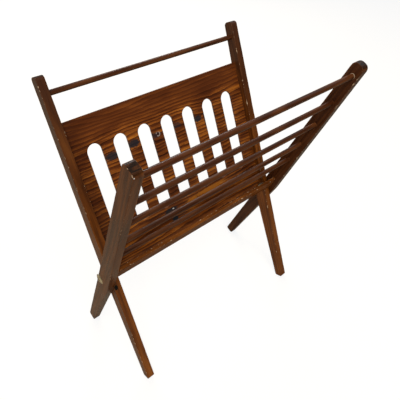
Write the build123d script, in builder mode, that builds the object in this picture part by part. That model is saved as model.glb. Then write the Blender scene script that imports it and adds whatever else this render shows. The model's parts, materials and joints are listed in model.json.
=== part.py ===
from build123d import *
import os
from math import acos, cos, radians, sin, tan

# A folding magazine rack of two crossed frames that turn on one pivot line. The inner frame has a
# slotted panel and leans back. The outer frame has five rods and a stop rail and leans forward.
# Millimetres and degrees, +Z up, the front towards -Y, the origin on the floor below the pivot line.

# Both frames
overall_width = 388.0
lean = 23.2
leg_thickness = 12.8
leg_upper_length = 306.0
leg_lower_length = 217.0
leg_width_top = 17.4
leg_width_pivot = 27.65
leg_width_foot = 16.4
pocket_edge = 6.15
outer_leg_flare = 2.5
top_corner_radius = 6.0
knee_radius = 150.0
foot_corner_radius = 4.0
foot_heel_radius = 1.5
foot_trim = 1.2
arris_chamfer = 0.7

# Dowel rods and the sockets that hold them
rod_diameter = 8.0
socket_depth = 8.0
socket_clearance = 0.05
socket_end_gap = 0.5
inner_rod_drop = 24.6
outer_rod_drops = (20.0, 73.5, 124.0, 175.0, 219.0)

# Slotted panel, let into a stopped groove in each inner leg
panel_thickness = 5.0
panel_top_drop = 67.3
panel_below_pivot = 11.0
panel_tongue = 4.0
panel_edge_radius = 0.8
groove_clearance = 0.1
slot_count = 7
slot_width = 24.0
slot_top_margin = 42.2
slot_bottom_margin = 70.0
slot_side_margin = 35.9

# Stop rail, tenoned into the outer legs
rail_thickness = 6.0
rail_width = 27.5
rail_arris_radius = 1.5
rail_clearance = 0.28
tenon_length = 6.0
tenon_shoulder = 1.2
tenon_end_shoulder = 3.5
mortise_clearance = 0.1

# Pivot bolts, cap nuts and washers
bolt_diameter = 5.0
bolt_bore_clearance = 0.08
bolt_end_gap = 0.5
head_diameter = 17.0
head_rim = 0.7
head_height = 3.1
leg_washer_diameter = 14.0
leg_washer_thickness = 0.5
nut_washer_diameter = 9.0
nut_washer_thickness = 0.8
washer_bore_clearance = 0.15
side_play = 0.05
nut_across_flats = 8.0
nut_hex_height = 4.0
nut_dome_height = 3.4
nut_dome_land = 0.5
dome_steps = 3
nut_panel_gap = 0.28
thread_engagement = 5.4
thread_clearance = 0.03

os.makedirs("parts", exist_ok=True)

# Sizes that follow from the ones above
tilt = radians(lean)
outer_edge = leg_width_pivot - pocket_edge
taper_up = (leg_width_pivot - leg_width_top) / leg_upper_length
taper_down = (leg_width_pivot - leg_width_foot) / leg_lower_length
foot_edge = leg_width_foot - pocket_edge
pivot_height = leg_lower_length * cos(tilt) + foot_edge * sin(tilt) - foot_trim

outer_face = overall_width / 2
outer_leg_inside = outer_face - leg_thickness
leg_gap = leg_washer_thickness + side_play
inner_leg_outside = outer_leg_inside - leg_gap
inner_leg_inside = inner_leg_outside - leg_thickness

rod_radius = rod_diameter / 2
bolt_radius = bolt_diameter / 2
bolt_bore = bolt_radius + bolt_bore_clearance
washer_bore = bolt_radius + washer_bore_clearance
nut_corner = nut_across_flats / 2 / cos(radians(30))
nut_seat = inner_leg_inside - side_play - nut_washer_thickness

panel_setback = max(nut_corner, nut_washer_diameter / 2) + nut_panel_gap
panel_top = leg_upper_length - panel_top_drop
panel_length = panel_top + panel_below_pivot
inner_rod_height = leg_upper_length - inner_rod_drop
outer_rod_heights = [leg_upper_length - drop for drop in outer_rod_drops]
slot_top = panel_top - slot_top_margin
slot_bottom = slot_bottom_margin - panel_below_pivot
slot_pitch = 2 * (inner_leg_inside - slot_side_margin) / (slot_count - 1)

rail_back = pocket_edge + rail_clearance
rail_bottom = (rail_back + rail_arris_radius) * tan(tilt) - rail_arris_radius
rail_centre = (rail_back + rail_thickness / 2, rail_bottom + rail_width / 2)
tenon_thickness = rail_thickness - 2 * tenon_shoulder
tenon_width = rail_width - 2 * tenon_end_shoulder

# Which way the pocket lies across each frame's legs: the inner legs have it in front
INNER = 1
OUTER = -1
HANDS = (("left", -1), ("right", 1))
PIVOT_LINE = Axis((0, 0, pivot_height), (1, 0, 0))


def across(side):
    """Direction across a frame's legs, towards the front."""
    return (0, -cos(tilt), side * sin(tilt))


def leg_plane(x, side):
    """Plane across a leg at x: its X axis points forward and its Y axis runs up the leg."""
    return Plane(origin=(x, 0, pivot_height), x_dir=across(side), z_dir=(-1, 0, 0))


def axle_plane(x, along):
    """Plane through the pivot line from x: its X axis runs along the line and its Y axis is up."""
    return Plane(origin=(x, 0, pivot_height), x_dir=(along, 0, 0), z_dir=(0, -along, 0))


def tapered_edge(height):
    """Distance from the pivot line to a leg's tapered edge at a height up the leg."""
    return outer_edge - taper_up * height


def rod_centre(height, side):
    """A rod's place in its leg plane, midway across a leg without flare."""
    return (side * (pocket_edge - tapered_edge(height)) / 2, height)


def dome_profile(diameter, height, base):
    """Profile points of a spherical cap on the pivot line, from its rim to its crown."""
    sphere = (diameter**2 / 4 + height**2) / (2 * height)
    rim_angle = acos((sphere - height) / sphere)
    angles = [rim_angle * (1 - step / dome_steps) for step in range(1, dome_steps + 1)]
    return [(base + height - sphere * (1 - cos(angle)), sphere * sin(angle)) for angle in angles]


def finish(part, label):
    """Name a finished piece and write it."""
    part.label = label
    export_step(part, f"parts/{label}.step")


def leg_outline(side):
    """Leg seen from the side: tapered both ways from the pivot, and an outer one flares to the pocket."""
    floor_line = pivot_height / cos(tilt)
    trim_on_end = (leg_lower_length - floor_line) / tan(tilt)
    trim_on_edge = (pivot_height - outer_edge * sin(tilt)) / (cos(tilt) - taper_down * sin(tilt))
    top_radius = min(top_corner_radius, leg_width_top / 2 - arris_chamfer)
    corners = [
        (-side * tapered_edge(leg_upper_length), leg_upper_length),
        (-side * outer_edge, 0),
        (side * (taper_down * trim_on_edge - outer_edge), -trim_on_edge),
        (side * trim_on_end, -leg_lower_length),
        (side * pocket_edge, -leg_lower_length),
    ]
    radii = [top_radius, knee_radius, foot_heel_radius, foot_heel_radius, foot_corner_radius]
    if side == OUTER:
        corners += [(side * pocket_edge, 0), (side * (pocket_edge + outer_leg_flare), leg_upper_length)]
        radii += [knee_radius, top_radius]
    else:
        corners += [(side * pocket_edge, leg_upper_length)]
        radii += [top_radius]
    with BuildSketch() as outline:
        with BuildLine():
            FilletPolyline(*corners, radius=radii, close=True)
        make_face()
    return outline.sketch


def plain_leg(inside_face, side, hand):
    """Leg outward from its inside face, with eased arrises and the bore for the pivot bolt."""
    with BuildPart() as leg:
        with BuildSketch(leg_plane(inside_face, side)):
            add(leg_outline(side))
        extrude(amount=-hand * leg_thickness)
        chamfer(leg.faces().filter_by(Axis.X).edges(), arris_chamfer)
        with BuildSketch(leg_plane(inside_face, side)):
            Circle(bolt_bore)
        extrude(amount=-hand * leg_thickness, mode=Mode.SUBTRACT)
    return leg.part


def make_inner_leg(hand):
    """Leg of the inner frame: blind socket for the top rod and a stopped groove for the panel."""
    inside = leg_plane(hand * inner_leg_inside, INNER)
    with BuildPart() as leg:
        add(plain_leg(hand * inner_leg_inside, INNER, hand))
        with BuildSketch(inside):
            with Locations(rod_centre(inner_rod_height, INNER)):
                Circle(rod_radius + socket_clearance)
        extrude(amount=-hand * (socket_depth + socket_end_gap), mode=Mode.SUBTRACT)
        with BuildSketch(inside):
            with Locations((groove_clearance / 2 - panel_setback, panel_top + groove_clearance)):
                Rectangle(
                    panel_thickness + groove_clearance,
                    panel_length + 2 * groove_clearance,
                    align=(Align.MAX, Align.MAX),
                )
        extrude(amount=-hand * (panel_tongue + groove_clearance), mode=Mode.SUBTRACT)
    return leg.part


def make_outer_leg(hand):
    """Leg of the outer frame: blind sockets for the rods and a mortise for the stop rail."""
    inside = leg_plane(hand * outer_leg_inside, OUTER)
    with BuildPart() as leg:
        add(plain_leg(hand * outer_leg_inside, OUTER, hand))
        with BuildSketch(inside):
            with Locations(*[rod_centre(height, OUTER) for height in outer_rod_heights]):
                Circle(rod_radius + socket_clearance)
        extrude(amount=-hand * (socket_depth + socket_end_gap), mode=Mode.SUBTRACT)
        with BuildSketch(inside):
            with Locations(rail_centre):
                Rectangle(tenon_thickness + 2 * mortise_clearance, tenon_width + 2 * mortise_clearance)
        extrude(amount=-hand * (tenon_length + mortise_clearance), mode=Mode.SUBTRACT)
    return leg.part


def make_rod(height, side, inside_face):
    """Dowel between two sockets."""
    length = 2 * (inside_face + socket_depth)
    with BuildPart() as rod:
        with BuildSketch(leg_plane(inside_face + socket_depth, side)):
            with Locations(rod_centre(height, side)):
                Circle(rod_radius)
        extrude(amount=length)
    return rod.part


# Inner frame: legs, top rod and slotted panel
for hand_name, hand in HANDS:
    finish(make_inner_leg(hand), f"inner_leg_{hand_name}")
finish(make_rod(inner_rod_height, INNER, inner_leg_inside), "inner_top_rod")

panel_face = Plane(origin=(0, 0, pivot_height), x_dir=(1, 0, 0), z_dir=across(INNER)).offset(-panel_setback)
with BuildPart() as panel:
    with BuildSketch(panel_face):
        with Locations((0, panel_top)):
            Rectangle(2 * (inner_leg_inside + panel_tongue), panel_length, align=(Align.CENTER, Align.MAX))
        with Locations((0, (slot_top + slot_bottom) / 2)):
            with GridLocations(slot_pitch, 0, slot_count, 1):
                SlotOverall(slot_top - slot_bottom, slot_width, rotation=90, mode=Mode.SUBTRACT)
    extrude(amount=-panel_thickness)
    long_edges = panel.edges().filter_by(Axis.X)
    fillet(long_edges, panel_edge_radius)
finish(panel.part, "slotted_panel")

# Outer frame: legs, rods and the rail that stops the opening
for hand_name, hand in HANDS:
    finish(make_outer_leg(hand), f"outer_leg_{hand_name}")
for number, height in enumerate(outer_rod_heights, start=1):
    finish(make_rod(height, OUTER, outer_leg_inside), f"outer_rod_{number}")

with BuildPart() as rail:
    with BuildSketch(leg_plane(outer_leg_inside, OUTER)):
        with Locations(rail_centre):
            Rectangle(rail_thickness, rail_width)
    extrude(amount=2 * outer_leg_inside)
    fillet(rail.edges().filter_by(Axis.X), rail_arris_radius)
    with BuildSketch(leg_plane(outer_leg_inside + tenon_length, OUTER)):
        with Locations(rail_centre):
            Rectangle(tenon_thickness, tenon_width)
    extrude(amount=2 * (outer_leg_inside + tenon_length))
finish(rail.part, "stop_rail")


def make_bolt(hand):
    """Pivot bolt: a mushroom head on the outer leg and a plain shank through both legs."""
    shank_length = outer_face - nut_seat + thread_engagement
    with BuildPart() as bolt:
        with BuildSketch(axle_plane(hand * outer_face, hand)):
            with BuildLine():
                Polyline(
                    (-shank_length, 0),
                    (-shank_length, bolt_radius),
                    (0, bolt_radius),
                    (0, head_diameter / 2),
                    (head_rim, head_diameter / 2),
                    *dome_profile(head_diameter, head_height - head_rim, head_rim),
                    close=True,
                )
            make_face()
        revolve(axis=PIVOT_LINE)
    return bolt.part


def make_nut(hand):
    """Cap nut on the inner leg's inside: a hexagon with a domed end over a blind bore."""
    seat = Plane(origin=(hand * nut_seat, 0, pivot_height), x_dir=across(OUTER), z_dir=(-hand, 0, 0))
    cap_diameter = nut_across_flats - 2 * nut_dome_land
    with BuildPart() as nut:
        with BuildSketch(seat):
            RegularPolygon(nut_across_flats / 2, 6, major_radius=False)
        extrude(amount=nut_hex_height)
        with BuildSketch(axle_plane(hand * (nut_seat - nut_hex_height), -hand)):
            with BuildLine():
                Polyline(
                    (0, 0),
                    (0, cap_diameter / 2),
                    *dome_profile(cap_diameter, nut_dome_height, 0),
                    close=True,
                )
            make_face()
        revolve(axis=PIVOT_LINE)
        with BuildSketch(seat):
            Circle(bolt_radius + thread_clearance)
        extrude(amount=thread_engagement + bolt_end_gap, mode=Mode.SUBTRACT)
    return nut.part


def make_washer(hand, seat, diameter, thickness):
    """Flat washer on the pivot line, inward from its seat."""
    with BuildPart() as washer:
        with BuildSketch(Plane(origin=(hand * seat, 0, pivot_height), x_dir=(0, 1, 0), z_dir=(-hand, 0, 0))):
            Circle(diameter / 2)
            Circle(washer_bore, mode=Mode.SUBTRACT)
        extrude(amount=thickness)
    return washer.part


# Pivot hardware, one set each side
for hand_name, hand in HANDS:
    finish(make_bolt(hand), f"pivot_bolt_{hand_name}")
    leg_washer = make_washer(hand, outer_leg_inside, leg_washer_diameter, leg_washer_thickness)
    finish(leg_washer, f"leg_washer_{hand_name}")
    nut_washer = make_washer(hand, inner_leg_inside - side_play, nut_washer_diameter, nut_washer_thickness)
    finish(nut_washer, f"nut_washer_{hand_name}")
    finish(make_nut(hand), f"pivot_nut_{hand_name}")
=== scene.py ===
"""The looks of the folding magazine rack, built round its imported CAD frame.

Shapes are worked out in millimetres in each board's own plane and placed in metres.
"""

import json
from math import acos, ceil, cos, pi, radians, sin, tan

import bmesh
import bpy
from mathutils import Matrix, Vector, noise

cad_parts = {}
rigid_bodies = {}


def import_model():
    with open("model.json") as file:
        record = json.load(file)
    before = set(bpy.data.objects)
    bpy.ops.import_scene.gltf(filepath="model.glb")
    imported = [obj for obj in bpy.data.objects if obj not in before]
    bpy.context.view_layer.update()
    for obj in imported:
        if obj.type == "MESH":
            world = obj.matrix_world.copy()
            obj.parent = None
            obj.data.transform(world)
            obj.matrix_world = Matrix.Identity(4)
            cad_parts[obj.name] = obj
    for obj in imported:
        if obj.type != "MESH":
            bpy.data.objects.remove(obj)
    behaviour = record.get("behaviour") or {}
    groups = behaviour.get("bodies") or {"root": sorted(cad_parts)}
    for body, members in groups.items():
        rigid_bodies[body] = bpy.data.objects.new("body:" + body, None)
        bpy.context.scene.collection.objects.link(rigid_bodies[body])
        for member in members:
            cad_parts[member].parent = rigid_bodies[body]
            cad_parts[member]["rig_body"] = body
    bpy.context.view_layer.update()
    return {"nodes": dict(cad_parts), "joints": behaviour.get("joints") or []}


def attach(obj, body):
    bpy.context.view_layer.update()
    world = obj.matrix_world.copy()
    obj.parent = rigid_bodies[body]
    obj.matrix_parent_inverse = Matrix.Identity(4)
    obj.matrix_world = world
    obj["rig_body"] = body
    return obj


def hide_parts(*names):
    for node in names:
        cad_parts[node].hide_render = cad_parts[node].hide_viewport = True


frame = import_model()

MM = 0.001

# The two frames lean by the same angle, one back and one forward, and cross at the pivot line.
LEAN = radians(23.2)
PIVOT = Vector(frame["joints"][0]["pos_m"])
INNER = 1
OUTER = -1
SIDEWAYS = Vector((1, 0, 0))
HANDS = (("left", -1), ("right", 1))

# Legs, in millimetres
LEG_THICKNESS = 12.8
LEG_UPPER = 306.0
LEG_LOWER = 217.0
LEG_WIDTH_TOP = 17.4
LEG_WIDTH_PIVOT = 27.65
LEG_WIDTH_FOOT = 16.4
POCKET_EDGE = 6.15
OUTER_LEG_FLARE = 2.5
TOP_RADIUS = 6.0
ROUNDER_TOP_RADIUS = 8.5
KNEE_RADIUS = 150.0
TOE_RADIUS = 4.0
HEEL_RADIUS = 1.5
LEG_EASE = 0.9
OUTER_LEG_INSIDE = 181.2
INNER_LEG_INSIDE = 167.85

# Keeps the finer arcs of the leg outlines inside the CAD box
OUTLINE_SHRINK = 0.9999

# Rods, panel and rail, in millimetres
ROD_RADIUS = 4.0
ROD_WAVER = 0.08
ROD_WAVER_LENGTH = 60
ROD_STEPS = 48
INNER_ROD_HEIGHT = 281.4
OUTER_ROD_HEIGHTS = (286.0, 232.5, 182.0, 131.0, 87.0)

# Bead of glue at a rod's end, as (distance from the leg, radius), and the step from it to the rod
GLUE_BEAD = ((0, 4.5), (0.3, 4.45), (0.8, 4.08))
BEAD_TO_ROD = 0.6

PANEL_FRONT = -4.9
PANEL_THICKNESS = 5.0
PANEL_TOP = 238.7
PANEL_BOTTOM = -11.0
PANEL_TONGUE = 4.0
PANEL_EASE = 0.7
SLOT_WIDTH = 24.0
SLOT_PITCH = 43.98
SLOT_COUNT = 7
SLOT_TOP = 196.5
SLOT_BOTTOM = 50.5
SLOT_RADIUS_GAP = 0.001
RAIL_BACK = 6.43
RAIL_THICKNESS = 6.0
RAIL_WIDTH = 27.5
RAIL_BOTTOM = 1.9
RAIL_EASE = 1.4

# Longest edges of the outlines, the unevenness of the easing, and what counts as no corner
LEG_STEP = 4.0
PANEL_STEP = 8.0
RAIL_STEP = 4.0
LEG_WEAR = 0.5
PANEL_WEAR = 0.3
RAIL_WEAR = 0.4
WEAR_CELL = 9
WEAR_FINER = 4.3
LEAST_WEAR = -0.6
STRAIGHT_TURN = 0.001

OUTER_EDGE = LEG_WIDTH_PIVOT - POCKET_EDGE
TAPER_UP = (LEG_WIDTH_PIVOT - LEG_WIDTH_TOP) / LEG_UPPER
TAPER_DOWN = (LEG_WIDTH_PIVOT - LEG_WIDTH_FOOT) / LEG_LOWER


def up_the_leg(side):
    return Vector((0, side * sin(LEAN), cos(LEAN)))


def across_the_leg(side):
    """Direction across a frame's legs, towards the front."""
    return Vector((0, -cos(LEAN), side * sin(LEAN)))


# Meshes

def turned(arm, angle):
    return Vector((arm.x * cos(angle) - arm.y * sin(angle), arm.x * sin(angle) + arm.y * cos(angle)))


def rounded(corners, radii, step, turn_step=radians(10)):
    """Points along a closed outline whose corners are arcs of the given radii, at most step apart."""
    stretches = []
    for index, radius in enumerate(radii):
        neighbours = [corners[(index + shift) % len(corners)] for shift in (-1, 0, 1)]
        before, corner, after = (Vector(point) for point in neighbours)
        arriving = (corner - before).normalized()
        leaving = (after - corner).normalized()
        hand = 1 if arriving.cross(leaving) > 0 else -1
        turn = acos(max(-1, min(1, arriving.dot(leaving)))) * hand
        if not radius or abs(turn) < STRAIGHT_TURN:
            stretches.append([corner])
            continue
        start = corner - arriving * radius * tan(abs(turn) / 2)
        inward = Vector((-arriving.y, arriving.x)) * hand
        centre = start + inward * radius
        pieces = max(2, ceil(abs(turn) / turn_step))
        arm = start - centre
        angles = [turn * part / pieces for part in range(pieces + 1)]
        stretches.append([centre + turned(arm, angle) for angle in angles])
    points = []
    for index, arc in enumerate(stretches):
        points += arc
        run = stretches[(index + 1) % len(stretches)][0] - arc[-1]
        parts = max(1, ceil(run.length / step))
        points += [arc[-1] + run * part / parts for part in range(1, parts)]
    return points


def rectangle(half, bottom, top, step):
    corners = [(-half, bottom), (half, bottom), (half, top), (-half, top)]
    return rounded(corners, [0.0] * len(corners), step)


def area_of(loop):
    return sum(a.cross(b) for a, b in zip(loop, loop[1:] + loop[:1])) / 2


def bridge(bm, rings):
    """Faces between each ring of vertices and the next."""
    for first, second in zip(rings, rings[1:]):
        for index in range(len(first)):
            following = (index + 1) % len(first)
            bm.faces.new((first[index], first[following], second[following], second[index]))


def smooth_piece(name, bm, normals=None):
    """A smooth object from bm, which is freed. normals lists one for each vertex."""
    bmesh.ops.recalc_face_normals(bm, faces=bm.faces)
    mesh = bpy.data.meshes.new(name)
    bm.to_mesh(mesh)
    bm.free()
    mesh.shade_smooth()
    if normals:
        mesh.normals_split_custom_set_from_vertices(normals)
    return link(name, mesh)


def unevenness(point, face, number):
    """How much more or less an edge is worn at a point of an outline; each face and loop differs."""
    seed = Vector((point.x, point.y, 40.0 * face + 17.0 * number)) / WEAR_CELL
    return max(LEAST_WEAR, noise.noise(seed) + 0.6 * noise.noise(seed * WEAR_FINER))


def eased_plate(name, loops, thickness, ease, place, wear=0.0, arc_steps=4):
    """A plate with the given outline and holes whose edges are eased to a radius.

    place turns (across, up, through) in millimetres into a point. wear makes the easing uneven.
    The mesh keeps a number for each vertex, arris, which is 1 in the middle of an eased edge.
    """
    bm = bmesh.new()
    arris_layer = bm.verts.layers.float.new("arris")
    normals = []
    borders = []
    quarter = [pi / 2 * part / arc_steps for part in range(arc_steps + 1)]
    for number, loop in enumerate(loops):
        material_left = (area_of(loop) > 0) == (number == 0)
        inward = []
        for before, point, after in zip(loop[-1:] + loop[:-1], loop, loop[1:] + loop[:1]):
            along = (after - before).normalized()
            left = Vector((-along.y, along.x))
            inward.append(left if material_left else -left)
        rings = []
        for face, angle in [(0, angle) for angle in quarter[::-1]] + [(1, angle) for angle in quarter]:
            ring = []
            for point, pull in zip(loop, inward):
                radius = ease * (1 + wear * unevenness(point, face, number))
                inset = radius * (1 - cos(angle))
                depth = radius * (1 - sin(angle))
                at = point + pull * inset
                through = depth if face == 0 else thickness - depth
                surface = place(at.x, at.y, through)
                out_x, out_y = at.x - pull.x * cos(angle), at.y - pull.y * cos(angle)
                outside = place(out_x, out_y, through + (2 * face - 1) * sin(angle))
                vertex = bm.verts.new(surface)
                vertex[arris_layer] = sin(2 * angle)
                normals.append((outside - surface).normalized())
                ring.append(vertex)
            rings.append(ring)
        bridge(bm, rings)
        borders.append((rings[0], rings[-1]))
    for face in (0, 1):
        edges = []
        for border in borders:
            ring = border[face]
            edges += [bm.edges.get((ring[i], ring[(i + 1) % len(ring)])) for i in range(len(ring))]
        if len(loops) == 1:
            bm.faces.new(borders[0][face])
        else:
            bmesh.ops.triangle_fill(bm, use_beauty=True, use_dissolve=False, edges=edges)
    bm.normal_update()
    return smooth_piece(name, bm, normals)


def lathe(name, profile, place, sides=40):
    """A round piece about its own line. profile lists (along, radius); place takes (along, x, y)."""
    bm = bmesh.new()
    rings = []
    angles = [2 * pi * part / sides for part in range(sides)]
    for along, radius in profile:
        rings.append([bm.verts.new(place(along, radius * cos(a), radius * sin(a))) for a in angles])
    bridge(bm, rings)
    bm.faces.new(rings[0])
    bm.faces.new(rings[-1])
    return smooth_piece(name, bm)


def link(name, mesh):
    piece = bpy.data.objects.new(name, mesh)
    bpy.context.scene.collection.objects.link(piece)
    return piece


def stand_in(piece, node, material):
    """Puts a detailed piece in the place of its CAD node."""
    piece.data.materials.append(material)
    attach(piece, frame["nodes"][node]["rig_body"])
    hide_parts(node)


# Node helpers

class Nodes:
    """A node tree with short ways to add and join nodes."""

    def __init__(self, tree, surface, output):
        self.tree = tree
        self.tree.nodes.clear()
        self.surface = self.add(surface)
        self.tree.links.new(self.surface.outputs[0], self.add(output).inputs["Surface"])

    def add(self, kind, inputs=(), **settings):
        node = self.tree.nodes.new(kind)
        for name, value in settings.items():
            setattr(node, name, value)
        for key, value in dict(inputs).items():
            self.put(node.inputs[key], value)
        return node

    def put(self, socket, value):
        if isinstance(value, bpy.types.NodeSocket):
            self.tree.links.new(value, socket)
        else:
            socket.default_value = value

    def math(self, operation, first, second=0.0, third=0.0):
        inputs = {0: first, 1: second, 2: third}
        return self.add("ShaderNodeMath", inputs, operation=operation).outputs[0]

    def vector(self, operation, first, second=(0, 0, 0)):
        node = self.add("ShaderNodeVectorMath", {0: first, 1: second}, operation=operation)
        return node.outputs["Value" if operation in ("DOT_PRODUCT", "LENGTH") else "Vector"]

    def between(self, value, low, high, to_low=0.0, to_high=1.0):
        """value mapped from low..high to to_low..to_high, smoothly and clamped."""
        inputs = {"Value": value, "From Min": low, "From Max": high, "To Min": to_low, "To Max": to_high}
        return self.add("ShaderNodeMapRange", inputs, interpolation_type="SMOOTHSTEP").outputs[0]

    def noise(self, place, cell, detail=2.0, roughness=0.5):
        """Noise whose features measure about cell, three lengths in the units of place."""
        inputs = {
            "Vector": self.vector("DIVIDE", place, cell),
            "Scale": 1.0,
            "Detail": detail,
            "Roughness": roughness,
        }
        return self.add("ShaderNodeTexNoise", inputs).outputs["Fac"]

    def mix(self, share, first, second):
        node = self.add("ShaderNodeMix", data_type="RGBA")
        self.put(node.inputs["Factor"], share)
        self.put(node.inputs[6], first)
        self.put(node.inputs[7], second)
        return node.outputs[2]

    def ramp(self, value, stops):
        """A colour for each value; stops are (position, colour)."""
        node = self.add("ShaderNodeValToRGB", {"Fac": value})
        elements = node.color_ramp.elements
        while len(elements) < len(stops):
            elements.new(0.5)
        for element, (position, colour) in zip(elements, stops):
            element.position = position
            element.color = colour
        return node.outputs["Color"]

    def board(self, along, across):
        """The surface point in millimetres as (along the grain, across the face, through it)."""
        place = self.add("ShaderNodeTexCoord").outputs["Object"]
        from_pivot = self.vector("SUBTRACT", place, tuple(PIVOT))
        axes = [tuple(axis / MM) for axis in (along, across, along.cross(across))]
        parts = [self.vector("DOT_PRODUCT", from_pivot, axis) for axis in axes]
        return self.add("ShaderNodeCombineXYZ", dict(enumerate(parts))).outputs[0]

    def split(self, place):
        return self.add("ShaderNodeSeparateXYZ", {0: place}).outputs

    def attribute(self, name):
        return self.add("ShaderNodeAttribute", attribute_name=name).outputs["Fac"]

    def bump(self, height, distance, strength):
        inputs = {"Height": height, "Distance": distance, "Strength": strength}
        return self.add("ShaderNodeBump", inputs).outputs["Normal"]

    def spot(self, place, centre, half, ragged):
        """1 inside a ragged blot of the given half sizes at centre, 0 outside."""
        offset = self.vector("SUBTRACT", place, centre)
        scaled = self.vector("DIVIDE", offset, half)
        distance = self.vector("LENGTH", scaled)
        edge = self.noise(place, (2.6, 2.2, 2.2), detail=3.0, roughness=0.6)
        distance = self.math("MULTIPLY_ADD", self.math("SUBTRACT", edge, 0.5), ragged * 4, distance)
        return self.between(distance, 1.1, 0.75)


class Shader(Nodes):
    """One material."""

    def __init__(self, name):
        self.material = bpy.data.materials.new(name)
        self.material.use_nodes = True
        super().__init__(self.material.node_tree, "ShaderNodeBsdfPrincipled", "ShaderNodeOutputMaterial")


class WorldShader(Nodes):
    """The light that comes from all round."""

    def __init__(self, name):
        world = bpy.data.worlds.new(name)
        world.use_nodes = True
        bpy.context.scene.world = world
        super().__init__(world.node_tree, "ShaderNodeBackground", "ShaderNodeOutputWorld")


def srgb(red, green, blue):
    """A colour given as 0..255 screen values, in the linear values that the nodes take."""
    parts = [value / 255 for value in (red, green, blue)]
    linear = [part / 12.92 if part <= 0.04045 else ((part + 0.055) / 1.055) ** 2.4 for part in parts]
    return (*linear, 1.0)


# Materials. The cells of a noise are in millimetres along, across and through the board, and the
# reliefs are in metres.

VARNISH_IOR = 1.36
RAIL_IOR = 1.1
PANEL_IOR = 1.4
WOOD_RELIEF = 0.00005
PANEL_RELIEF = 0.00006
METAL_RELIEF = 0.00003
BARE_WOOD = srgb(206, 176, 140)
RUBBED_WOOD = srgb(140, 96, 60)
END_GRAIN = srgb(20, 12, 5)


def stained_wood(
    name, along, across, colours, ring_pitch, seed, worn=True, ior=VARNISH_IOR, shades=(), blots=()
):
    """Straight-grained hardwood under a brown stain and a worn satin varnish.

    colours are the dark, middle and light of the grain. In the board's own millimetres, shades
    lists (axis, low, high, share, colour) for slow changes of tone along an axis, and blots lists
    (centre, half sizes, colour).
    """
    shader = Shader(name)
    dark, middle, light = colours
    board = shader.board(along, across)
    place = shader.vector("ADD", board, (seed * 137.0, seed * 29.0, seed * 53.0))
    drift = shader.noise(place, (260, 22, 22), detail=1.0)
    across_grain = shader.split(place)[1]
    ring_place = shader.math("MULTIPLY_ADD", drift, 34.0, across_grain)
    ring_angle = shader.math("MULTIPLY", ring_place, 2 * pi / ring_pitch)
    rings = shader.math("MULTIPLY_ADD", shader.math("SINE", ring_angle), 0.5, 0.5)
    fibres = shader.noise(place, (38, 0.7, 0.7), detail=3.0, roughness=0.6)
    cloud = shader.noise(place, (70, 16, 16), detail=2.0)
    tone = shader.math("MULTIPLY_ADD", rings, 0.16, shader.math("MULTIPLY", fibres, 0.60))
    tone = shader.math("MULTIPLY_ADD", cloud, 0.38, tone)
    colour = shader.ramp(tone, [(0.36, dark), (0.58, middle), (0.80, light)])
    pores = shader.noise(place, (9, 0.28, 0.28), detail=1.0)
    pore_mask = shader.between(pores, 0.60, 0.70)
    colour = shader.mix(shader.math("MULTIPLY", pore_mask, 0.35), colour, dark)
    for axis, low, high, share, shade in shades:
        turn_over = shader.between(shader.split(board)[axis], low, high, 0.0, share)
        colour = shader.mix(turn_over, colour, shade)
    normal = shader.add("ShaderNodeTexCoord").outputs["Normal"]
    facing = shader.vector("DOT_PRODUCT", normal, tuple(along))
    end = shader.between(shader.math("ABSOLUTE", facing), 0.62, 0.88)
    end_lines = shader.between(shader.noise(place, (8, 1.4, 8), detail=2.0), 0.4, 0.6, 0.5, 0.95)
    colour = shader.mix(shader.math("MULTIPLY", end, end_lines), colour, END_GRAIN)
    roughness = shader.between(cloud, 0.3, 0.7, 0.24, 0.34)
    if worn:
        arris = shader.attribute("arris")
        rub = shader.between(shader.noise(place, (30, 6, 6), detail=3.0), 0.42, 0.62)
        rubbed = shader.math("MULTIPLY", shader.between(arris, 0.5, 1.0), rub)
        colour = shader.mix(shader.math("MULTIPLY", rubbed, 0.2), colour, RUBBED_WOOD)
        knocks = shader.noise(place, (4.5, 2.2, 2.2), detail=3.0, roughness=0.6)
        stretch = shader.between(shader.noise(place, (45, 60, 60), detail=1.0), 0.46, 0.54)
        chips = shader.math("MULTIPLY", shader.between(knocks, 0.585, 0.61), stretch)
        chipped = shader.math("MULTIPLY", shader.between(arris, 0.3, 0.8), chips)
        colour = shader.mix(chipped, colour, BARE_WOOD)
    for centre, half, blot_colour in blots:
        colour = shader.mix(shader.spot(board, centre, half, 0.25), colour, blot_colour)
    height = shader.math("MULTIPLY_ADD", pore_mask, -0.6, fibres)
    shader.put(shader.surface.inputs["Base Color"], colour)
    shader.put(shader.surface.inputs["Roughness"], roughness)
    shader.put(shader.surface.inputs["Normal"], shader.bump(height, WOOD_RELIEF, 0.5))
    shader.surface.inputs["IOR"].default_value = ior
    return shader.material


FILLED_KNOT = srgb(30, 36, 41)
CHIP = srgb(228, 224, 216)
RESIN = srgb(176, 104, 28)

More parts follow.
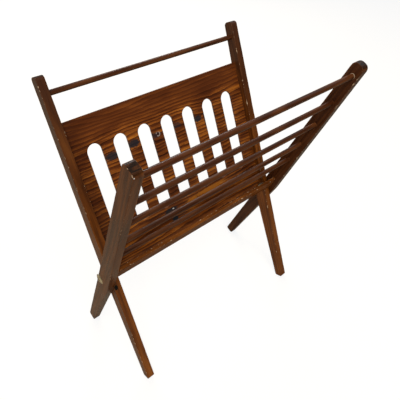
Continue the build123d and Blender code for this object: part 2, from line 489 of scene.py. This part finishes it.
# Marks on the panel as (centre, half sizes, colour, share), in millimetres sideways from its middle
# and up from the pivot line
PANEL_MARKS = (
    ((-108.5, 168.6), (13.0, 6.5), FILLED_KNOT, 0.9),
    ((-69.0, 173.5), (11.0, 6.5), FILLED_KNOT, 0.9),
    ((-27.5, 172.5), (10.0, 5.4), FILLED_KNOT, 0.7),
    ((16.0, 174.0), (10.0, 4.6), FILLED_KNOT, 0.65),
    ((61.0, 170.5), (8.0, 5.6), FILLED_KNOT, 0.9),
    ((74.5, 165.0), (1.3, 13.0), FILLED_KNOT, 0.8),
    ((52.0, 44.0), (40.0, 4.6), RESIN, 0.85),
    ((8.0, 41.0), (13.0, 4.4), RESIN, 0.85),
    ((-38.2, 42.7), (15.0, 4.2), FILLED_KNOT, 0.9),
    ((-34.5, 25.0), (7.0, 4.0), FILLED_KNOT, 1.0),
    ((-18.0, 26.0), (12.0, 2.6), FILLED_KNOT, 0.5),
    ((-101.4, 18.3), (6.5, 4.0), FILLED_KNOT, 0.85),
    ((-33.5, 43.4), (2.0, 1.0), CHIP, 1.0),
)
SCRATCH_CENTRE = (-22.5, 173.0, 0)
SCRATCH_RADIUS = 3.4
SCRATCH_COLOUR = srgb(168, 150, 136)
PANEL_COLOURS = (
    (0.39, srgb(50, 21, 9)),
    (0.57, srgb(92, 45, 18)),
    (0.68, srgb(134, 72, 24)),
    (0.83, srgb(190, 114, 38)),
)
# Painted shadow: the colour the panel darkens to at its left end, beside the left inner leg
PANEL_PAINTED_SHADOW = srgb(44, 17, 8)
STREAK_PITCH = 6.6
ANY_DEPTH = 1e6


def panel_wood(name):
    """Fir plywood with bold streaks across the rack, stained red brown, with knots filled dark."""
    shader = Shader(name)
    place = shader.board(SIDEWAYS, up_the_leg(INNER))
    drift = shader.noise(place, (170, 34, 34), detail=1.0)
    ripple = shader.noise(place, (9, 60, 9), detail=1.0)
    up = shader.split(place)[1]
    rippled = shader.math("MULTIPLY_ADD", ripple, 2.2, up)
    streak_place = shader.math("MULTIPLY_ADD", drift, 26.0, rippled)
    streaks = shader.math("FRACT", shader.math("DIVIDE", streak_place, STREAK_PITCH))
    streaks = shader.math("SUBTRACT", 1.0, shader.math("POWER", streaks, 1.6))
    fine = shader.noise(place, (46, 1.3, 1.3), detail=3.0, roughness=0.6)
    cloud = shader.noise(place, (60, 14, 20), detail=2.0)
    tone = shader.math("MULTIPLY_ADD", streaks, 0.24, shader.math("MULTIPLY", fine, 0.42))
    tone = shader.math("MULTIPLY_ADD", cloud, 0.48, tone)
    calm = shader.between(up, 196.0, 216.0, 0.0, 0.55)
    towards_even = shader.math("MULTIPLY", shader.math("SUBTRACT", 0.54, tone), calm)
    tone = shader.math("ADD", tone, towards_even)
    colour = shader.ramp(tone, PANEL_COLOURS)
    # Painted shadow: the panel darkens towards its left end, where the left inner leg shades it
    left_painted_shadow = shader.between(shader.split(place)[0], -128.0, -160.0, 0.0, 0.45)
    colour = shader.mix(left_painted_shadow, colour, PANEL_PAINTED_SHADOW)
    for centre, half, mark, share in PANEL_MARKS:
        blot = shader.spot(place, (*centre, 0), (*half, ANY_DEPTH), 0.3)
        colour = shader.mix(shader.math("MULTIPLY", blot, share), colour, mark)
    from_curl = shader.vector("MULTIPLY", shader.vector("SUBTRACT", place, SCRATCH_CENTRE), (1, 1, 0))
    curl = shader.math("SUBTRACT", shader.vector("LENGTH", from_curl), SCRATCH_RADIUS)
    curl = shader.between(shader.math("ABSOLUTE", curl), 0.9, 0.4)
    broken = shader.between(shader.noise(place, (5, 5, 5), detail=1.0), 0.42, 0.5)
    colour = shader.mix(shader.math("MULTIPLY", curl, broken), colour, SCRATCH_COLOUR)
    shader.put(shader.surface.inputs["Base Color"], colour)
    shader.put(shader.surface.inputs["Roughness"], shader.between(cloud, 0.3, 0.7, 0.18, 0.28))
    shader.put(shader.surface.inputs["Normal"], shader.bump(fine, PANEL_RELIEF, 0.6))
    shader.surface.inputs["IOR"].default_value = PANEL_IOR
    return shader.material


def metal(name, colour, roughness):
    """Turned metal with faint scratches and a patchy tarnish."""
    shader = Shader(name)
    place = shader.board(SIDEWAYS, up_the_leg(INNER))
    tarnish = shader.noise(place, (4, 4, 4), detail=3.0)
    scratches = shader.noise(place, (0.15, 3, 3), detail=2.0)
    dull = tuple(0.2 * part for part in colour[:3]) + (1.0,)
    patchy = shader.mix(shader.between(tarnish, 0.46, 0.66), colour, dull)
    shader.put(shader.surface.inputs["Base Color"], patchy)
    dullness = shader.between(scratches, 0.3, 0.7, roughness, roughness + 0.15)
    shader.put(shader.surface.inputs["Roughness"], dullness)
    shader.put(shader.surface.inputs["Normal"], shader.bump(scratches, METAL_RELIEF, 0.4))
    shader.surface.inputs["Metallic"].default_value = 0.9
    return shader.material


INNER_LEG_COLOURS = (srgb(62, 29, 8), srgb(106, 55, 14), srgb(142, 80, 23))
OUTER_LEG_COLOURS = (srgb(56, 27, 9), srgb(92, 50, 18), srgb(124, 72, 30))
ROD_COLOURS = (srgb(44, 20, 8), srgb(78, 40, 17), srgb(110, 64, 30))
RAIL_COLOURS = (srgb(56, 25, 9), srgb(106, 57, 19), srgb(148, 86, 34))
LEG_RING_PITCH = 9.0
ROD_RING_PITCH = 5.0
RAIL_RING_PITCH = 6.0
BRASS = srgb(246, 236, 200)
STEEL = srgb(150, 148, 142)

# The inner legs darken towards their tops, and the right outer leg is darker than the left one.
TOP_SHADE = (0, 60, 300, 0.7, srgb(58, 36, 26))
RIGHT_SHADE = (2, -20, 20, 0.5, srgb(44, 18, 12))

# Marks as (centre, half sizes, colour): along the grain, across towards the front, and sideways
# Painted shade: a near-black blot on the left inner leg's front face, just below the crossing, stands in
# for the shade inside a small hollow there
DENT_PAINTED_SHADE = ((-24.6, POCKET_EDGE, -177.3), (4.8, 2.0, 3.6), srgb(8, 7, 6))
CORNER_CHIP = ((302.5, 10.0, -192.8), (0.9, 1.0, 1.0), CHIP)
GLUE = ((OUTER_LEG_INSIDE - 0.6, OUTER_ROD_HEIGHTS[0], 0), (1.1, 8, 12), srgb(140, 118, 94))

inner_up, outer_up = up_the_leg(INNER), up_the_leg(OUTER)
inner_across, outer_across = across_the_leg(INNER), across_the_leg(OUTER)
inner_leg_wood = stained_wood(
    "inner_leg_wood", inner_up, inner_across, INNER_LEG_COLOURS, LEG_RING_PITCH, 1,
    shades=(TOP_SHADE,), blots=(DENT_PAINTED_SHADE,),
)
outer_leg_wood = stained_wood(
    "outer_leg_wood", outer_up, outer_across, OUTER_LEG_COLOURS, LEG_RING_PITCH, 2,
    shades=(RIGHT_SHADE,), blots=(CORNER_CHIP,),
)
rod_wood = stained_wood(
    "rod_wood", SIDEWAYS, outer_up, ROD_COLOURS, ROD_RING_PITCH, 3, worn=False, blots=(GLUE,)
)
rail_wood = stained_wood("rail_wood", SIDEWAYS, outer_up, RAIL_COLOURS, RAIL_RING_PITCH, 4, ior=RAIL_IOR)
panel_material = panel_wood("panel_wood")
brass = metal("pivot_brass", BRASS, 0.12)
steel = metal("washer_steel", STEEL, 0.35)


# Pieces

def leg_plane(inside, side, hand):
    """Places a leg's points: across towards the front, up the leg, and outward from its inside."""
    across, up = across_the_leg(side) * MM, up_the_leg(side) * MM
    return lambda n, s, through: PIVOT + across * n + up * s + SIDEWAYS * hand * (inside + through) * MM


def board_plane(front, side):
    """Places a board's points: sideways, up the frame, and back from its front face."""
    across, up = across_the_leg(side) * MM, up_the_leg(side) * MM
    return lambda x, s, depth: PIVOT + SIDEWAYS * x * MM + up * s + across * (front - depth)


def rod_line(centre, side):
    """Places a rod's points: along it from its middle, across the frame, and up the frame."""
    across, up = across_the_leg(side) * MM, up_the_leg(side) * MM
    return lambda along, x, y: centre + SIDEWAYS * along * MM + across * x + up * y


def leg_outline(side, top_radius):
    """Leg seen from the side, from its tapered top down to the foot and back up towards the pocket."""
    pivot_height = PIVOT.z / MM
    trim_on_end = (LEG_LOWER - pivot_height / cos(LEAN)) / tan(LEAN)
    trim_on_edge = (pivot_height - OUTER_EDGE * sin(LEAN)) / (cos(LEAN) - TAPER_DOWN * sin(LEAN))
    flare = OUTER_LEG_FLARE if side == OUTER else 0
    corners = [
        (-side * (OUTER_EDGE - TAPER_UP * LEG_UPPER), LEG_UPPER),
        (-side * OUTER_EDGE, 0),
        (side * (TAPER_DOWN * trim_on_edge - OUTER_EDGE), -trim_on_edge),
        (side * trim_on_end, -LEG_LOWER),
        (side * POCKET_EDGE, -LEG_LOWER),
        (side * POCKET_EDGE, 0),
        (side * (POCKET_EDGE + flare), LEG_UPPER),
    ]
    radii = [top_radius, KNEE_RADIUS, HEEL_RADIUS, HEEL_RADIUS, TOE_RADIUS, KNEE_RADIUS, top_radius]
    return [point * OUTLINE_SHRINK for point in rounded(corners, radii, LEG_STEP)]


def make_legs():
    for hand_name, hand in HANDS:
        for frame_name, side, inside, material in (
            ("inner", INNER, INNER_LEG_INSIDE, inner_leg_wood),
            ("outer", OUTER, OUTER_LEG_INSIDE, outer_leg_wood),
        ):
            node = f"{frame_name}_leg_{hand_name}"
            place = leg_plane(inside, side, hand)
            top_radius = ROUNDER_TOP_RADIUS if node == "outer_leg_right" else TOP_RADIUS
            outline = leg_outline(side, top_radius)
            leg = eased_plate(f"{node}_shaped", [outline], LEG_THICKNESS, LEG_EASE, place, wear=LEG_WEAR)
            stand_in(leg, node, material)


def make_panel():
    """The panel's front face lies behind the pivot line, and its slots are cut right through."""
    half = INNER_LEG_INSIDE + PANEL_TONGUE
    loops = [rectangle(half, PANEL_BOTTOM, PANEL_TOP, PANEL_STEP)]
    radius = SLOT_WIDTH / 2 - SLOT_RADIUS_GAP
    for number in range(SLOT_COUNT):
        middle = (number - (SLOT_COUNT - 1) / 2) * SLOT_PITCH
        left, right = middle - SLOT_WIDTH / 2, middle + SLOT_WIDTH / 2
        slot = [(left, SLOT_BOTTOM), (left, SLOT_TOP), (right, SLOT_TOP), (right, SLOT_BOTTOM)]
        loops.append(rounded(slot, [radius] * len(slot), PANEL_STEP))
    place = board_plane(PANEL_FRONT, INNER)
    panel = eased_plate(
        "slotted_panel_shaped", loops, PANEL_THICKNESS, PANEL_EASE, place, wear=PANEL_WEAR, arc_steps=3
    )
    stand_in(panel, "slotted_panel", panel_material)


def make_rail():
    outline = rectangle(OUTER_LEG_INSIDE, RAIL_BOTTOM, RAIL_BOTTOM + RAIL_WIDTH, RAIL_STEP)
    place = board_plane(RAIL_BACK + RAIL_THICKNESS, OUTER)
    rail = eased_plate("stop_rail_shaped", [outline], RAIL_THICKNESS, RAIL_EASE, place, wear=RAIL_WEAR)
    stand_in(rail, "stop_rail", rail_wood)


def make_rods():
    rods = [("inner_top_rod", INNER, INNER_ROD_HEIGHT, INNER_LEG_INSIDE)]
    for number, height in enumerate(OUTER_ROD_HEIGHTS, start=1):
        rods.append((f"outer_rod_{number}", OUTER, height, OUTER_LEG_INSIDE))
    for node, side, height, inside in rods:
        offset = side * (POCKET_EDGE - (OUTER_EDGE - TAPER_UP * height)) / 2
        centre = PIVOT + (across_the_leg(side) * offset + up_the_leg(side) * height) * MM
        bead = [(inside - back, radius) for back, radius in GLUE_BEAD]
        reach = bead[-1][0] - BEAD_TO_ROD
        profile = [(-x, radius) for x, radius in bead]
        for part in range(ROD_STEPS + 1):
            x = -reach + 2 * reach * part / ROD_STEPS
            waver = noise.noise(Vector((x / ROD_WAVER_LENGTH, height, 0))) * ROD_WAVER
            profile.append((x, ROD_RADIUS + waver))
        profile += reversed(bead)
        rod = lathe(f"{node}_shaped", profile, rod_line(centre, side))
        stand_in(rod, node, rod_wood)


make_legs()
make_panel()
make_rail()
make_rods()

for node, piece in frame["nodes"].items():
    if "washer" in node or "pivot" in node:
        piece.data.materials.clear()
        piece.data.materials.append(steel if "washer" in node else brass)


# Floor, light and camera

# The pale floor looks overexposed from the camera and lights what is above it, but the varnish
# mirrors only its own shade.
FLOOR_SHADE = (0.28, 0.225, 0.16, 1)
FLOOR_GLOW = (0.762, 0.796, 0.83, 1)
FLOOR_BOUNCE = 0.4
FLOOR_HALF = 12.0
SHADY_SIDE = Vector((0.5, -0.86, 0.0)).normalized()


def make_floor():
    mesh = bpy.data.meshes.new("floor")
    corners = [(x * FLOOR_HALF, y * FLOOR_HALF, 0) for x, y in ((-1, -1), (1, -1), (1, 1), (-1, 1))]
    mesh.from_pydata(corners, [], [(0, 1, 2, 3)])
    floor = link("floor", mesh)
    shader = Shader("floor_paper")
    shader.surface.inputs["Base Color"].default_value = FLOOR_SHADE
    shader.surface.inputs["Roughness"].default_value = 0.9
    shader.surface.inputs["Specular IOR Level"].default_value = 0.1
    shader.surface.inputs["Emission Color"].default_value = FLOOR_GLOW
    path = shader.add("ShaderNodeLightPath").outputs
    glow = shader.math("MULTIPLY_ADD", path["Is Diffuse Ray"], FLOOR_BOUNCE, path["Is Camera Ray"])
    shader.put(shader.surface.inputs["Emission Strength"], glow)
    mesh.materials.append(shader.material)


# Soft boxes as (name, place, target, width in metres, power in watts, whether the varnish mirrors it)
LIGHTS = (
    ("key", (-0.7, -1.3, 2.2), (0, 0, 0.2), 1.6, 46, False),
    ("back", (0.5, 2.2, 1.3), (0, 0, 0.25), 1.4, 22, False),
    ("rim", (1.1, 1.5, 1.7), (0, 0, 0.3), 0.6, 8, True),
)


def make_light(name, place, target, width, power, mirrored):
    """A square soft box of the given width that looks at target."""
    light = bpy.data.lights.new(name, "AREA")
    light.shape = "SQUARE"
    light.size = width
    light.energy = power
    lamp = bpy.data.objects.new(name, light)
    lamp.location = place
    lamp.rotation_euler = (Vector(target) - Vector(place)).to_track_quat("-Z", "Y").to_euler()
    lamp.visible_glossy = mirrored
    bpy.context.scene.collection.objects.link(lamp)


def make_world():
    """Soft white light from above that fades to a dark room at the horizon."""
    shader = WorldShader("studio")
    towards = shader.add("ShaderNodeTexCoord").outputs["Generated"]
    height = shader.split(towards)[2]
    sky = shader.between(height, 0.05, 0.5, 0.18, 0.55)
    sky = shader.math("MULTIPLY", sky, shader.between(height, 0.8, 0.97, 1.0, 0.3))
    shady = shader.vector("DOT_PRODUCT", towards, tuple(SHADY_SIDE))
    shade = shader.between(shady, 0.3, 0.95, 1.0, 0.15)
    strength = shader.math("MULTIPLY", sky, shade)
    seen = shader.add("ShaderNodeLightPath").outputs["Is Camera Ray"]
    shader.put(shader.surface.inputs["Strength"], shader.math("MAXIMUM", strength, seen))
    shader.surface.inputs["Color"].default_value = (1, 1, 1, 1)


CAMERA_PLACE = Vector((-0.34018, -0.38076, 0.70451))
CAMERA_AZIMUTH = 0.68206
CAMERA_ELEVATION = 0.69176
CAMERA_ROLL = -0.00113
CAMERA_LENS_MM = 36.337
CAMERA_SENSOR_MM = 36.0
CAMERA_CLIP = (0.01, 100.0)
CAMERA_SHIFT = (0.04355, -0.0304)


def make_camera():
    data = bpy.data.cameras.new("camera")
    data.lens = CAMERA_LENS_MM
    data.sensor_width = CAMERA_SENSOR_MM
    data.shift_x, data.shift_y = CAMERA_SHIFT
    data.clip_start, data.clip_end = CAMERA_CLIP
    camera = bpy.data.objects.new("camera", data)
    bpy.context.scene.collection.objects.link(camera)
    level = cos(CAMERA_ELEVATION)
    back_x, back_y = -sin(CAMERA_AZIMUTH) * level, -cos(CAMERA_AZIMUTH) * level
    back = Vector((back_x, back_y, sin(CAMERA_ELEVATION)))
    right = Vector((0, 0, 1)).cross(back).normalized()
    up = back.cross(right)
    camera_x = cos(CAMERA_ROLL) * right + sin(CAMERA_ROLL) * up
    camera_y = cos(CAMERA_ROLL) * up - sin(CAMERA_ROLL) * right
    turn = Matrix((camera_x, camera_y, back)).transposed()
    camera.matrix_world = Matrix.Translation(CAMERA_PLACE) @ turn.to_4x4()
    bpy.context.scene.camera = camera


make_floor()
make_world()
for name, place, target, width, power, mirrored in LIGHTS:
    make_light(name, place, target, width, power, mirrored)
make_camera()
bpy.context.scene.view_settings.view_transform = "Standard"
